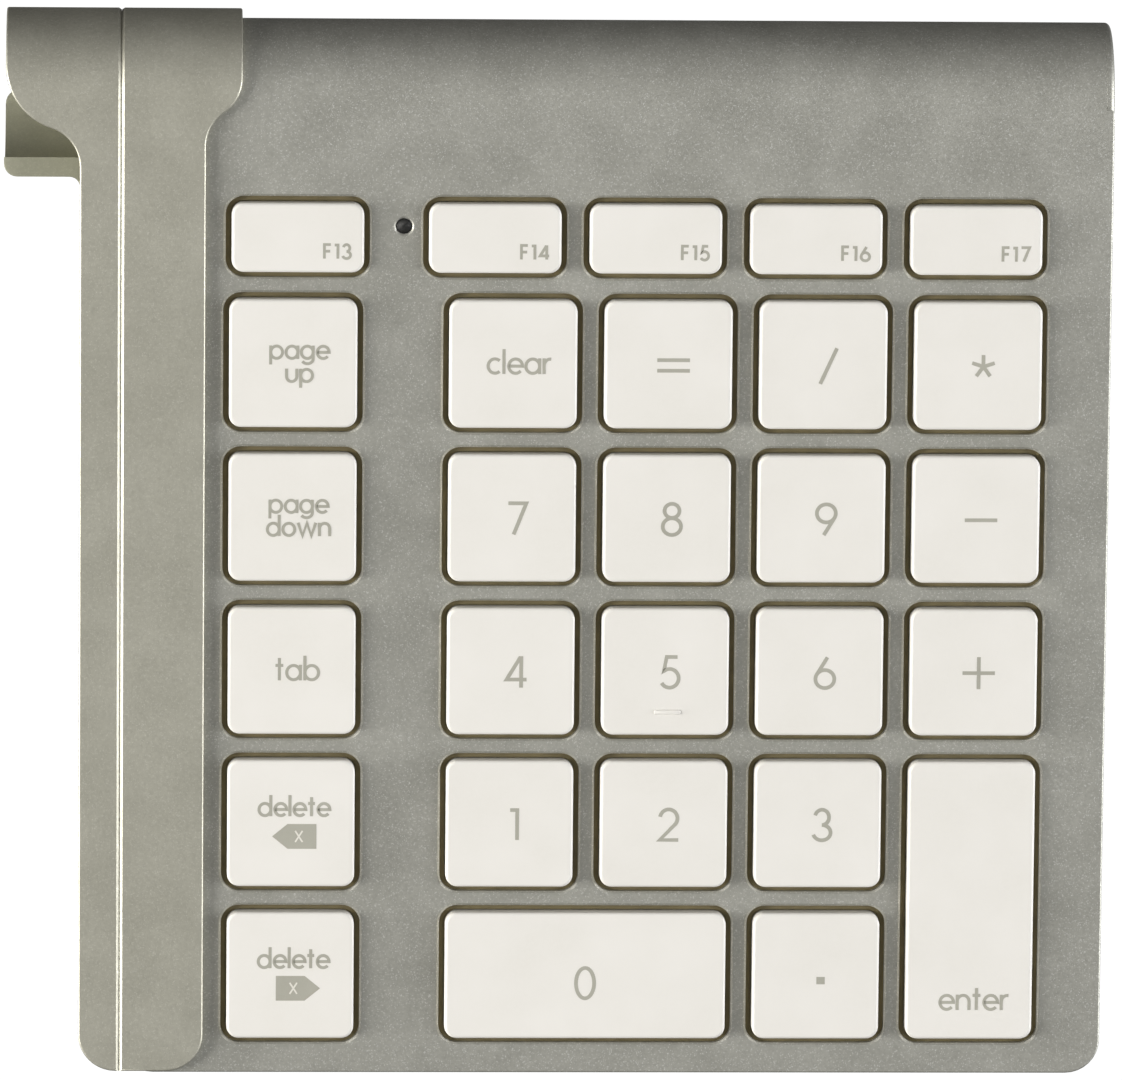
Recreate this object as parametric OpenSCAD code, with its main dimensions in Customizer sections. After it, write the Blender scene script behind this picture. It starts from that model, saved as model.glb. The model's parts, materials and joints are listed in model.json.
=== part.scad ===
// Numeric keypad with a battery tube along its back edge, and the joining
// clip that ties it to a neighbouring keyboard of the same section.
// The deck is a thin slab that rises towards the back. Most parts are drawn in
// the slab's own directions: X to the right from the left edge, S back along the
// slope from the front edge, and H square to the slab's top face (H = 0).

/* [Body] */
// Width of the keypad, without the clip
width = 121.4; // [120:0.2:124]
// Depth in plan, from the front edge to the back of the tube
depth = 130; // [129:0.5:132]
// Slope of the slab's top face, degrees
slope = 6.5; // [6:0.1:7]
// Outer radius of the battery tube
tube_r = 9; // [9:0.1:9.5]
// Wall of the battery tube
tube_wall = 0.8; // [0.6:0.1:0.8]
// Thickness of the slab
slab_t = 4.3; // [4.3:0.05:4.5]
// Thickness of the sheet that the keys come through
plate_t = 1; // [0.8:0.1:1]
// Radius of the slab's front corners, seen from above
corner_r = 4.2; // [2:0.1:6]
// Height of the feet under the tube
foot_h = 1.5; // [1.5:0.1:2.5]

/* [Keys] */
// Distance from one key centre to the next
pitch = 19; // [19:0.05:19.2]
// Centre of the first number column from the left edge
first_column_x = 48; // [47.5:0.1:48.5]
// Centre of the column of single keys from the first number column
side_column_gap = 26.9; // [26:0.1:27]
// Centre of the lowest row from the front edge
lowest_row_s = 12.4; // [12:0.1:12.6]
// Width of a key well
well_w = 17.1; // [16.8:0.05:17.3]
// Depth of a key well
well_d = 17.2; // [16.8:0.05:17.3]
// Corner radius of a key well
well_r = 2.2; // [1.6:0.1:2.6]
// Gap between a keycap and its well
cap_gap = 0.72; // [0.5:0.02:0.8]
// Corner radius of a keycap
cap_r = 1.5; // [1:0.1:2]
// Height of a keycap's top above the slab
cap_rise = 1.25; // [1:0.05:1.4]
// Travel of a key
travel = 1.4; // [1:0.1:1.4]

/* [Function keys] */
// Distance between function keys
f_pitch = 19.63; // [19.4:0.01:19.8]
// Width of a function key's well
f_well_w = 17.6; // [17:0.1:17.8]
// Depth of a function key's well
f_well_d = 9.95; // [9.8:0.05:10.4]
// Centre of the function row from the front edge
f_row_s = 103.85; // [103.6:0.05:104]
// Centre of the first function key from the left edge
f_single_x = 21.6; // [21:0.1:22]
// Centre of the second function key from the left edge
f_second_x = 45.7; // [45.5:0.1:46]

/* [Clip] */
// Thickness of the clip's sheet
clip_t = 1.15; // [0.8:0.05:1.2]
// Clearance between the clip and the keypad
clip_gap = 0.05; // [0.05:0.01:0.1]
// Width of the V groove, and of the web under it
groove_w = 0.75; // [0.6:0.05:0.9]
// Reach over the keypad along the slab
reach_right = 10.35; // [9:0.05:10.5]
// Reach over the keypad at the tube
flare_right = 14.8; // [13:0.1:15]
// Reach over the neighbour along the slab, from the keypad's edge
reach_left = 5; // [4:0.1:6]
// Reach over the neighbour at the tube, from the keypad's edge
flare_left = 14; // [13:0.1:14.2]
// Reach of the lower cradle under the neighbour, from the keypad's edge
cradle_left = 14.3; // [14.2:0.05:15]

/* [Hidden] */
$fn = 64;

// The slab's directions in the row frame
s_axis = (depth - tube_r - tube_r * sin(slope)) / cos(slope);
front_z = foot_h + tube_r - s_axis * sin(slope) + tube_r * cos(slope);
cap_bulge = 0.1;
clip_r = tube_r + clip_gap + clip_t;
x_middle = (width + cap_bulge - cradle_left) / 2;
y_middle = (depth - tube_r + clip_r) / 2;

// Levels through the slab, measured from its top face
cover_t = 0.65;
cover_top = -slab_t + cover_t;
rim_h = -3;
base_t = 0.3;
base_bottom = -3.6;
base_top = base_bottom + base_t;
membrane_t = 0.2;
membrane_top = base_top + membrane_t;
board_top = -1.7;
board_t = 0.6;
board_bottom = board_top - board_t;
side_wall = 1;
arc_steps = 6;

// Keycaps and the levers under them
cap_skin = 0.8;
cap_wall = 0.9;
cap_under = cap_rise - cap_skin;
gasket_t = 0.2;
gasket_reach = cap_gap - 0.1;
cap_bottom = -1.2;
lever_t = 0.5;
lever_low = membrane_top + 0.32;
lever_high = lever_low + travel;
lever_span = 1.2;
outer_half_w = 5.6;
inner_half_w = 4.7;
lever_arm = 0.6;
play = 0.05;
stabiliser_half_l = 14.5;
hook_x = 3.2;
hook_t = 0.8;
slot_half_w = 4.2;

// Where the slab's back part ends, against the tube
inner_end_s = 109;
cover_end_s = 113.6;
board_front_s = 109.4;
board_back_s = 113.2;
tongue_front_s = 103.2;
led_x = 34.56;
led_s = 105.2;
led_r = 0.95;

// Screws that hold the cover: X and S of each
side_screw_x = 6.2;
gap_screw_x = 34.6;
screws = [
    [side_screw_x, 22], [side_screw_x, 98], [gap_screw_x, 22],
    [gap_screw_x, 79], [width - 3.8, 22], [width - 3.8, 98]
];
cover_boss_r = 2.4;
board_screws_x = [10, 76];
board_screw_s = 111.2;

// Battery line, X from the keypad's left edge
cell_r = 7.1;
cell_l = 49.2;
nub_l = 1;
sleeve_wall = 0.7;
sleeve_end_x = 9.6;
contact_x = sleeve_end_x + 1;
contact_t = 0.4;
spring_l = 4.6;
first_cell_x = contact_x + contact_t + spring_l;
cap_rim = 1;
cap_plug_l = 4;
plug_r = tube_r - tube_wall - 0.08;
plug_x = width - cap_rim - cap_plug_l;
seal_x = plug_x + 2.9;
seal_wire_r = 0.5;
seal_r = 7.62;

// Power switch, a slide switch read through a slot in the cover
switch_x = 50;
switch_l = 9;
knob_travel = 2.5;
knob_l = 2.4;
knob_w = 1.6;
knob_s = 111;

// Feet: X of the front pair and of the rear pair
foot_r = 3.5;
front_foot_y = 8;
front_feet_x = [21, 110];
rear_feet_x = [26, 108];

function column(i) = first_column_x + (i - 1) * pitch;
function row(j) = lowest_row_s + (5 - j) * pitch;
side_x = first_column_x - side_column_gap;

// Every key: node, centre X, centre S, well width, well depth
KEYS = concat(
    [["key_f13", f_single_x, f_row_s, f_well_w, f_well_d]],
    [for (i = [0:3]) [str("key_f", 14 + i), f_second_x + i * f_pitch, f_row_s, f_well_w, f_well_d]],
    [for (k = [
        ["key_page_up", 1], ["key_page_down", 2], ["key_tab", 3],
        ["key_delete_back", 4], ["key_delete_forward", 5]
    ]) [k[0], side_x, row(k[1]), well_w, well_d]],
    [for (k = [
        ["key_clear", 1, 1], ["key_equals", 2, 1], ["key_divide", 3, 1], ["key_multiply", 4, 1],
        ["key_7", 1, 2], ["key_8", 2, 2], ["key_9", 3, 2], ["key_minus", 4, 2],
        ["key_4", 1, 3], ["key_5", 2, 3], ["key_6", 3, 3], ["key_plus", 4, 3],
        ["key_1", 1, 4], ["key_2", 2, 4], ["key_3", 3, 4], ["key_decimal", 3, 5]
    ]) [k[0], column(k[1]), row(k[2]), well_w, well_d]],
    [["key_0", column(1.5), row(5), well_w + pitch, well_d]],
    [["key_enter", column(4), row(4.5), well_w, well_d + pitch]]
);

PARTS = [
    "top_shell", "bottom_cover", "dust_gasket", "base_plate", "membrane_circuit", "rubber_domes",
    "scissor_outer_frames", "scissor_inner_frames", "stabiliser_wires",
    "circuit_board", "controller_chip", "radio_module", "flex_connector",
    "switch_body", "switch_knob", "status_led", "light_pipe", "board_screws", "case_screws",
    "left_end_plug", "battery_sleeve", "battery_contact", "battery_spring", "battery_leads",
    "battery_1", "battery_2", "cap_contact", "cap_seal", "battery_cap", "rubber_feet",
    "clip_top_plate", "clip_lower_cradle"
];

// How far the lever's raised end is from the key's centre
function hook_s(key) = min(4.6, key[4] / 2 - 3.35);
function lever_length(key) = 2 * hook_s(key) + lever_span;
function lever_tilt(key) = atan(travel / lever_length(key));
function cross_h(key) = lever_high - travel * hook_s(key) / lever_length(key);

// Points of an arc, from angle a0 to angle a1
function arc(cx, cy, r, a0, a1, steps = arc_steps) =
    [for (i = [0:steps]) let (a = a0 + (a1 - a0) * i / steps) [cx + r * cos(a), cy + r * sin(a)]];

// Places the slab's directions in the row frame
module deck() {
    translate([-x_middle, -y_middle, front_z]) rotate([slope, 0, 0]) children();
}

// A cylinder along X, centred on the tube, from x0 to x1
module on_tube(x0, x1, r) {
    translate([x0, s_axis, -tube_r]) rotate([0, 90, 0]) cylinder(h = x1 - x0, r = r);
}

// A block between two corners
module block(a, b) {
    translate(a) cube(b - a);
}

module rounded_rectangle(w, d, r) {
    polygon(concat(
        arc(w / 2 - r, d / 2 - r, r, 0, 90), arc(r - w / 2, d / 2 - r, r, 90, 180),
        arc(r - w / 2, r - d / 2, r, 180, 270), arc(w / 2 - r, r - d / 2, r, 270, 360)
    ));
}

// The slab's outline seen square to it, pulled in by inset, back to back_s
module slab_outline(inset, back_s) {
    r = corner_r - inset;
    polygon(concat(
        arc(inset + r, inset + r, r, 180, 270), arc(width - inset - r, inset + r, r, 270, 360),
        [[width - inset, back_s], [inset, back_s]]
    ));
}

// A flat prism between two levels
module between(h0, h1) {
    translate([0, 0, h0]) linear_extrude(h1 - h0) children();
}

// The rounded opening of each key, through the levels given
module wells(h0, h1) {
    for (k = KEYS) translate([k[1], k[2], 0]) between(h0, h1) rounded_rectangle(k[3], k[4], well_r);
}

module at_screws() {
    for (p = screws) translate([p[0], p[1], 0]) children();
}

// ---- Casing ----

module top_shell() color([0.64, 0.64, 0.61]) deck() difference() {
    union() {
        between(-plate_t, 0) slab_outline(0, s_axis);
        between(rim_h, -plate_t) difference() {
            slab_outline(0, s_axis);
            slab_outline(side_wall, s_axis + 1);
        }
        on_tube(0, width - cap_rim, tube_r);
        at_screws() translate([0, 0, rim_h]) cylinder(h = -plate_t - rim_h, r = 1.7);
        for (x = board_screws_x) translate([x, board_screw_s, board_top])
            cylinder(h = -plate_t - board_top, r = 1.4);
    }
    on_tube(-1, width + 1, tube_r - tube_wall);
    on_tube(width - cap_rim - play, width + 1, tube_r + 0.1);
    wells(-plate_t - 1, 1);
    translate([led_x, led_s, -2]) cylinder(h = 3, r = led_r);
    at_screws() translate([0, 0, rim_h - 1]) cylinder(h = 2.6, r = 0.8);
    for (x = board_screws_x) translate([x, board_screw_s, board_top - 1]) cylinder(h = 1.5, r = 0.55);
    block([5, 112, -3.3], [10, s_axis - 3, -2.1]);
}

module bottom_cover() color([0.93, 0.93, 0.91]) deck() difference() {
    union() {
        between(-slab_t, cover_top) slab_outline(0, cover_end_s);
        between(cover_top, rim_h) difference() {
            slab_outline(0, cover_end_s);
            slab_outline(side_wall, cover_end_s + 1);
        }
        at_screws() translate([0, 0, cover_top]) cylinder(h = rim_h - cover_top, r = cover_boss_r);
    }
    on_tube(-1, width + 1, tube_r + play);
    at_screws() translate([0, 0, -slab_t - 1]) cylinder(h = 1.5, r = 1.6);
    at_screws() translate([0, 0, -slab_t - 1]) cylinder(h = 3, r = 0.9);
    block(
        [switch_x + 1.5, knob_s - knob_w / 2 - 0.2, -slab_t - 1],
        [switch_x + 2.1 + knob_l + knob_travel, knob_s + knob_w / 2 + 0.2, cover_top + 1]
    );
}

module case_screws() color([0.75, 0.75, 0.74]) deck() at_screws() difference() {
    union() {
        translate([0, 0, -slab_t]) cylinder(h = 0.45, r = 1.5);
        translate([0, 0, -slab_t]) cylinder(h = 2.7, r = 0.75);
    }
    translate([0, 0, -slab_t - 0.1]) block([-0.9, -0.15, 0], [0.9, 0.15, 0.35]);
}

// Thin foam sheet under the plate, which closes each well up to its cap
module dust_gasket() color([0.5, 0.46, 0.33]) deck() difference() {
    between(-plate_t - gasket_t, -plate_t) slab_outline(side_wall + 0.1, inner_end_s);
    for (k = KEYS) translate([k[1], k[2], 0]) between(-plate_t - 1, 0)
        rounded_rectangle(k[3] - 2 * gasket_reach, k[4] - 2 * gasket_reach, cap_r + 0.1);
    at_screws() translate([0, 0, rim_h]) cylinder(h = 4, r = 1.8);
    translate([led_x, led_s, rim_h]) cylinder(h = 4, r = 1.1);
}

// Soft feet: two under the slab near its front edge and two under the tube
module rubber_feet() color([0.86, 0.86, 0.84]) {
    for (x = front_feet_x) difference() {
        translate([x - x_middle, front_foot_y - y_middle, 0]) cylinder(h = 6, r = foot_r);
        deck() block([0, -10, -slab_t], [width, 40, 20]);
    }
    for (x = rear_feet_x) difference() {
        translate([x - x_middle, depth - tube_r - y_middle, 0])
            block([-8, -3, 0], [8, 3, foot_h + 0.8]);
        deck() on_tube(-1, width + 1, tube_r + play / 2);
    }
}

// ---- Keys ----

// One of the cap's hooks, which hangs under a lever's raised bar
module cap_hook(key) {
    toe_top = lever_high - lever_t / 2 - play;
    for (x = [-hook_x, hook_x]) translate([x + hook_t / 2, hook_s(key), 0])
        rotate([90, 0, -90]) linear_extrude(hook_t)
        polygon([
            [-0.35, cap_under + 0.1], [-0.35, toe_top], [-0.05, toe_top],
            [-0.05, toe_top - 0.35], [-0.75, toe_top - 0.35], [-0.75, cap_under + 0.1]
        ]);
}

module keycap(key) color([0.92, 0.91, 0.88]) deck() translate([key[1], key[2], 0]) {
    w = key[3] - 2 * cap_gap;
    d = key[4] - 2 * cap_gap;
    difference() {
        between(cap_bottom, cap_rise) rounded_rectangle(w, d, cap_r);
        between(cap_bottom - 1, cap_under) rounded_rectangle(w - 2 * cap_wall, d - 2 * cap_wall, 0.6);
    }
    cap_hook(key);
    mirror([0, 1, 0]) cap_hook(key);
}

module rubber_domes() color([0.8, 0.8, 0.78]) deck() for (k = KEYS) {
    base_r = min(2.6, hook_s(k) - 0.4);
    translate([k[1], k[2], membrane_top]) {
        cylinder(h = 0.6, r = base_r);
        translate([0, 0, 0.6]) cylinder(h = 1.6, r1 = base_r, r2 = base_r * 0.55);
        translate([0, 0, 2.2]) cylinder(h = cap_under - play - membrane_top - 2.2, r = base_r * 0.55);
    }
}

// A flat ring that slopes from its raised bar down to its low bar
module lever_ring(key, half_w) {
    length = lever_length(key) / cos(lever_tilt(key));
    half_t = lever_t / 2;
    translate([0, -hook_s(key), lever_high]) rotate([-lever_tilt(key), 0, 0]) difference() {
        block([-half_w, -half_t, -half_t], [half_w, length + half_t, half_t]);
        block([lever_arm - half_w, half_t, -1], [half_w - lever_arm, length - half_t, 1]);
    }
}

module scissor_outer_frames() color([0.96, 0.96, 0.95]) deck() for (k = KEYS)
    translate([k[1], k[2], 0]) difference() {
        lever_ring(k, outer_half_w);
        translate([-outer_half_w - 1, 0, cross_h(k)]) rotate([0, 90, 0])
            cylinder(h = 2 * outer_half_w + 2, r = 0.2, $fn = 24);
    }

module scissor_inner_frames() color([0.96, 0.96, 0.95]) deck() for (k = KEYS)
    translate([k[1], k[2], 0]) {
        mirror([0, 1, 0]) lever_ring(k, inner_half_w);
        for (side = [0, 1]) mirror([side, 0, 0])
            translate([inner_half_w - 0.1, 0, cross_h(k)]) rotate([0, 90, 0])
                cylinder(h = 0.9, r = 0.15, $fn = 24);
    }

// A steel wire that keeps a long key level, drawn for a key that is long along X
module stabiliser(half_l) {
    wire_r = 0.35;
    h = lever_high - 0.45;
    translate([-half_l, 6, h]) rotate([0, 90, 0]) cylinder(h = 2 * half_l, r = wire_r, $fn = 24);
    for (x = [-half_l, half_l]) {
        translate([x, 6, h]) rotate([90, 0, 0]) cylinder(h = 3.5, r = wire_r, $fn = 24);
        translate([x, 6, h]) sphere(r = wire_r, $fn = 24);
    }
}

module stabiliser_wires() color([0.7, 0.7, 0.72]) deck() for (k = KEYS) {
    translate([k[1], k[2], 0]) {
        if (k[3] > well_w + pitch / 2) stabiliser(stabiliser_half_l);
        if (k[4] > well_d + pitch / 2) rotate([0, 0, 90]) stabiliser(stabiliser_half_l);
    }
}

// A hook that stands up from the base plate over a lever's low bar
module base_tab(key) {
    bar_s = hook_s(key) + lever_span;
    toe = lever_low + lever_t / 2 + play;
    translate([1.2, bar_s, 0]) rotate([90, 0, -90]) linear_extrude(2.4)
        polygon([
            [-0.3, base_top - 0.1], [-0.3, toe], [0.05, toe],
            [0.05, toe + 0.25], [-0.5, toe + 0.25], [-0.5, base_top - 0.1]
        ]);
}

// Slots either side of a key's centre, from the hook out by reach
module key_slots(key, h0, h1, reach) {
    for (side = [0, 1]) translate([key[1], key[2], 0]) mirror([0, side, 0])
        block([-slot_half_w, hook_s(key) - 0.1, h0], [slot_half_w, hook_s(key) + reach, h1]);
}

module inner_sheet(h0, h1) {
    block([1.5, corner_r, h0], [width - 1.5, inner_end_s, h1]);
}

module base_plate() color([0.72, 0.73, 0.74]) deck() {
    difference() {
        inner_sheet(base_bottom, base_top);
        for (k = KEYS) key_slots(k, base_bottom - 1, base_top + 1, 0.9);
        at_screws() translate([0, 0, base_bottom - 1]) cylinder(h = 3, r = cover_boss_r + 0.1);
    }
    for (k = KEYS) translate([k[1], k[2], 0]) {
        base_tab(k);
        mirror([0, 1, 0]) base_tab(k);
    }
}

module membrane_circuit() color([0.45, 0.6, 0.5]) deck() {
    difference() {
        inner_sheet(base_top, membrane_top);
        for (k = KEYS) key_slots(k, base_top - 1, membrane_top + 1, 1.85);
        at_screws() translate([0, 0, base_top - 1]) cylinder(h = 3, r = cover_boss_r + 0.1);
    }
    block([63, inner_end_s, base_top], [71, inner_end_s + 3, membrane_top]);
}

// ---- Electronics behind the function keys ----

module circuit_board() color([0.1, 0.35, 0.2]) deck() difference() {
    union() {
        block([3, board_front_s, board_bottom], [80, board_back_s, board_top]);
        block([31.6, tongue_front_s, board_bottom], [36.6, board_front_s, board_top]);
    }
    for (x = board_screws_x) translate([x, board_screw_s, board_bottom - 1]) cylinder(h = 3, r = 0.7);
}

module board_screws() color([0.75, 0.75, 0.74]) deck() for (x = board_screws_x)
    translate([x, board_screw_s, board_bottom - 0.5]) {
        cylinder(h = 0.5, r = 1.1);
        cylinder(h = 1.5, r = 0.5);
    }

module controller_chip() color([0.12, 0.12, 0.12]) deck()
    block([14, 109.9, -3.1], [19, 112.7, board_bottom]);

module radio_module() color([0.75, 0.76, 0.77]) deck()
    block([22, 109.7, -3.4], [30, 113, board_bottom]);

module flex_connector() color([0.15, 0.15, 0.15]) deck()
    block([62, 109.6, membrane_top], [72, 112.8, board_bottom]);

module switch_body() color([0.2, 0.2, 0.2]) deck()
    block([switch_x, 109.6, -3.5], [switch_x + switch_l, 113, board_bottom]);

module switch_knob() color([0.9, 0.9, 0.88]) deck() translate([switch_x + 1.8, knob_s, 0])
    block([0, -knob_w / 2, -slab_t - 0.6], [knob_l, knob_w / 2, cover_top + 0.1]);

module status_led() color([0.5, 0.9, 0.5]) deck()
    block([led_x - 0.8, led_s - 0.5, board_top], [led_x + 0.8, led_s + 0.5, board_top + 0.5]);

module light_pipe() color([0.15, 0.15, 0.15]) deck()
    translate([led_x, led_s, board_top + 0.55]) cylinder(h = -play - board_top - 0.55, r = led_r - play);

// ---- Battery tube ----

module left_end_plug() color([0.9, 0.9, 0.88]) deck() difference() {
    on_tube(0.2, 3, tube_r - tube_wall - play);
    on_tube(1.4, 4, tube_r - tube_wall - 1.5);
}

module battery_sleeve() color([0.25, 0.25, 0.26]) deck() difference() {
    on_tube(sleeve_end_x, plug_x - 0.4, tube_r - tube_wall - play);
    on_tube(contact_x, width, tube_r - tube_wall - play - sleeve_wall);
    on_tube(sleeve_end_x - 1, width, 1);
}

module battery_contact() color([0.82, 0.7, 0.35]) deck() {
    on_tube(contact_x, contact_x + contact_t, 6.4);
    on_tube(sleeve_end_x - 0.6, contact_x, 0.9);
}

// Points of a tapering coil: three turns from the contact to the first cell
coil_wire_r = 0.35;
coil_turns = 3;
coil_rings = 54;
coil_sides = 8;
function coil_radius(u) = 5.4 - 2.2 * u;
function coil_point(i, j) = let (
    u = i / coil_rings, a = 360 * coil_turns * u, b = 360 * j / coil_sides,
    r = coil_radius(u) + coil_wire_r * cos(b)
) [coil_wire_r + 0.02 + (spring_l - 2 * coil_wire_r - 0.04) * u + coil_wire_r * sin(b), r * cos(a), r * sin(a)];

module battery_spring() color([0.8, 0.8, 0.78]) deck()
    translate([contact_x + contact_t, s_axis, -tube_r]) polyhedron(
        points = [for (i = [0:coil_rings], j = [0:coil_sides - 1]) coil_point(i, j)],
        faces = concat(
            [[for (j = [0:coil_sides - 1]) j]],
            [for (i = [0:coil_rings - 1], j = [0:coil_sides - 1]) let (
                n = (j + 1) % coil_sides, a = i * coil_sides, b = a + coil_sides
            ) [a + j, b + j, b + n, a + n]],
            [[for (j = [coil_sides - 1:-1:0]) coil_rings * coil_sides + j]]
        )
    );

// Two thin leads from the board, through the slot, into the tube
module battery_leads() color([0.7, 0.15, 0.12]) deck() for (x = [6.4, 8.6])
    translate([x, board_back_s - 0.6, -2.8]) rotate([-90, 0, 0]) cylinder(h = 5.4, r = 0.45, $fn = 24);

module cell(x) {
    on_tube(x, x + cell_l, cell_r);
    on_tube(x + cell_l, x + cell_l + nub_l, 2.75);
}

module battery_1() color([0.2, 0.45, 0.3]) deck() cell(first_cell_x);

module battery_2() color([0.2, 0.45, 0.3]) deck() cell(first_cell_x + cell_l + nub_l);

// The screw cap: a domed face, a plug that fills the tube's mouth and a coin slot
module battery_cap() color([0.66, 0.66, 0.63]) deck() difference() {
    translate([0, s_axis, -tube_r]) rotate([0, 90, 0]) rotate_extrude() polygon(concat(
        [[0, plug_x], [plug_r, plug_x], [plug_r, width - cap_rim], [tube_r, width - cap_rim]],
        arc(tube_r - 0.6, width - 0.6, 0.6, 0, 70),
        [[5.5, width + cap_bulge], [0, width + cap_bulge]]
    ));
    translate([0, s_axis, -tube_r]) rotate([0, 90, 0]) rotate_extrude() polygon([
        [seal_r - seal_wire_r - play, seal_x - seal_wire_r - play],
        [tube_r, seal_x - seal_wire_r - play],
        [tube_r, seal_x + seal_wire_r + play],
        [seal_r - seal_wire_r - play, seal_x + seal_wire_r + play]
    ]);
    translate([width, s_axis, -tube_r]) rotate([slope, 0, 0])
        block([-1.2, -0.9, -6], [1, 0.9, 6]);
}

module cap_seal() color([0.12, 0.12, 0.12]) deck()
    translate([seal_x, s_axis, -tube_r]) rotate([0, 90, 0]) rotate_extrude()
        translate([seal_r, 0]) circle(r = seal_wire_r, $fn = 24);

module cap_contact() color([0.82, 0.7, 0.35]) deck() on_tube(plug_x - contact_t, plug_x, 4);

// ---- Joining clip ----

// One side of the clip's plan: wide at the tube, then two arcs in to the narrow part.
// wide and narrow are distances from the seam, r1 and r2 the two arcs' radii and
// s_turn the S of the wide arc's centre.
function clip_side(wide, narrow, r1, r2, s_turn) =
    let (dx = narrow + r2 - (wide - r1), a = acos(dx / (r1 + r2)))
    concat(
        [[wide, s_axis + clip_r + 1]],
        arc(wide - r1, s_turn, r1, 0, -a),
        arc(narrow + r2, s_turn - (r1 + r2) * sin(a), r2, 180 - a, 180)
    );

function flip_x(points) = [for (i = [len(points) - 1:-1:0]) [-points[i][0], points[i][1]]];

clip_front_s = 0.35;
clip_front_r = 4.6;
groove_d = 0.45;
// How far the web's edge is let into the clip's two sheets
web_key = 0.3;

module clip_plan() {
    polygon(concat(
        clip_side(flare_right, reach_right, 5, 5, 123.3),
        arc(reach_right - clip_front_r, clip_front_s + clip_front_r, clip_front_r, 0, -90),
        arc(clip_front_r - reach_left, clip_front_s + clip_front_r, clip_front_r, -90, -180),
        flip_x(clip_side(flare_left, reach_left, 8, 5, 124.7))
    ));
}

module cradle_plan() {
    r = 1.6;
    fillet = 1.3;
    back_s = s_axis - 0.95;
    front_s = 110.6;
    polygon(concat(
        arc(flare_right - r, back_s - r, r, 90, 0), arc(flare_right - r, front_s + r, r, 0, -90),
        [[reach_right, front_s]],
        arc(reach_right - clip_front_r, clip_front_s + clip_front_r, clip_front_r, 0, -90),
        arc(clip_front_r - reach_left, clip_front_s + clip_front_r, clip_front_r, -90, -180),
        arc(-reach_left - fillet, front_s - fillet, fillet, 0, 90),
        arc(r - cradle_left, front_s + r, r, -90, -180), arc(r - cradle_left, back_s - r, r, 180, 90)
    ));
}

// The keypad's own section, slab and tube, from x0 to x1 and grown by a distance.
// The clip's sheets are what one growth leaves outside a smaller one.
module slab_section(x0, x1, grow) {
    on_tube(x0, x1, tube_r + grow);
    block([x0, clip_front_s, -slab_t - grow], [x1, s_axis, grow]);
}

module clip_top_plate() color([0.7, 0.7, 0.66]) deck() difference() {
    intersection() {
        slab_section(-flare_left - 1, flare_right + 1, clip_gap + clip_t);
        between(-30, 10) clip_plan();
    }
    slab_section(-flare_left - 2, flare_right + 2, clip_gap);
    clip_web(clip_gap + web_key);
    block([-30, -10, -40], [30, s_axis, clip_gap]);
    translate([0, s_axis, -tube_r]) rotate([-20, 0, 0]) block([-30, -20, -30], [30, 30, 0]);
    clip_groove();
}

// V groove over the seam, along the flat part and round the tube
module clip_groove() {
    outer = clip_gap + clip_t;
    translate([-groove_w / 2, s_axis, 0]) rotate([90, 0, 0]) linear_extrude(s_axis + 1)
        polygon([[0, outer - groove_d], [groove_w, outer + groove_d], [-groove_w, outer + groove_d]]);
    translate([-groove_w / 2, s_axis, -tube_r]) rotate([0, 90, 0]) rotate_extrude()
        polygon([[clip_r - groove_d, 0], [clip_r + groove_d, groove_w], [clip_r + groove_d, -groove_w]]);
}

// The web between the two channels, grown out from the keypad's section
module clip_web(grow) {
    intersection() {
        slab_section(-groove_w, -play, grow);
        block([-groove_w, clip_front_s + 2, -30], [-play, s_axis + tube_r + grow, grow]);
    }
}

module clip_lower_cradle() color([0.62, 0.62, 0.58]) deck() {
    clip_web(clip_gap + web_key);
    difference() {
        intersection() {
            slab_section(-cradle_left - 1, flare_right + 1, clip_gap + clip_t);
            between(-30, 10) cradle_plan();
        }
        slab_section(-cradle_left - 2, flare_right + 2, clip_gap);
        block([-30, -10, -slab_t], [30, 200, 10]);
        translate([0, s_axis, -tube_r]) block([-30, 0, 0], [30, 30, 30]);
    }
}

for (k = KEYS) keycap(k);
top_shell();
bottom_cover();
dust_gasket();
base_plate();
membrane_circuit();
rubber_domes();
scissor_outer_frames();
scissor_inner_frames();
stabiliser_wires();
circuit_board();
controller_chip();
radio_module();
flex_connector();
switch_body();
switch_knob();
status_led();
light_pipe();
board_screws();
case_screws();
left_end_plug();
battery_sleeve();
battery_contact();
battery_spring();
battery_leads();
battery_1();
battery_2();
cap_contact();
cap_seal();
battery_cap();
rubber_feet();
clip_top_plate();
clip_lower_cradle();
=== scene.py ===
"""Looks of the numeric keypad and its joining clip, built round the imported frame.

Shapes are drawn in the deck's own directions, in millimetres: X right from the
keypad's left edge, S back along the slope from its front edge, and H square to
the slab's top face. FROM_DECK places them in the row frame.
"""
import json
import math

import bmesh
import bpy
from mathutils import Euler, Matrix, Vector


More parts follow.
